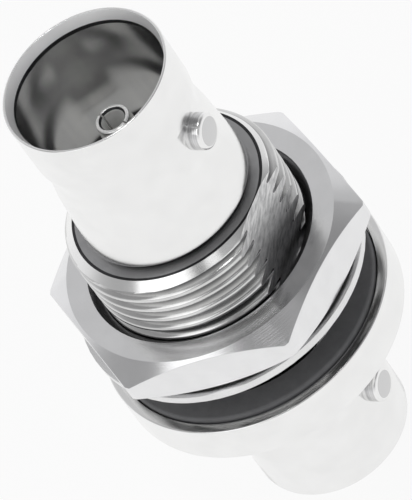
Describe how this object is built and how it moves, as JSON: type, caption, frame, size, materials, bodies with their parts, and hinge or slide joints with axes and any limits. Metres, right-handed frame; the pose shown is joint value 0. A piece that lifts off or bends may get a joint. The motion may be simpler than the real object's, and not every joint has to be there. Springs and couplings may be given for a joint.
{
  "type": "bnc connector",
  "caption": "Bulkhead feed-through coaxial adaptor: a bayonet socket at each end, a flange with a gasket, a threaded D-shaped section, a lock washer and a hexagon nut.",
  "frame": {"origin": "centre of the rear socket's mouth, the plane that the part stands on", "axes": "+Z along the connector's axis to the front socket's mouth, +X through the two lugs marked a. The flat of the thread faces 4 degrees from +X toward -Y."},
  "size_m": [0.018, 0.0188, 0.034],
  "materials": {
    "nickel_plate": "brass, bright nickel plated",
    "washer_steel": "spring steel, nickel plated",
    "contact_plate": "brass, silver plated",
    "gasket_rubber": "matte",
    "insulator_plastic": "white, matte"
  },
  "bodies": {
    "connector": {"shell_body": "nickel_plate", "front_barrel": "nickel_plate", "rear_lug_a": "nickel_plate", "rear_lug_b": "nickel_plate", "front_lug_a": "nickel_plate", "front_lug_b": "nickel_plate", "gasket": "gasket_rubber", "centre_contact": "contact_plate", "rear_insulator": "insulator_plastic", "front_insulator": "insulator_plastic"},
    "washer": {"lock_washer": "washer_steel"},
    "nut": {"hex_nut": "nickel_plate"}
  },
  "joints": [
    {"name": "nut_travel", "type": "slide", "parent": "connector", "child": "washer", "axis": [0, 0, 1], "range_m": [-0.0023, 0.008]},
    {"name": "nut_turn", "type": "hinge", "parent": "washer", "child": "nut", "pos_m": [0, 0, 0.0177], "axis": [0, 0, 1], "range_deg": [-900, 3150]}
  ],
  "couplings": [
    {"joint": "nut_travel", "follows": "nut_turn", "m_per_rad": 0.00014438}
  ]
}
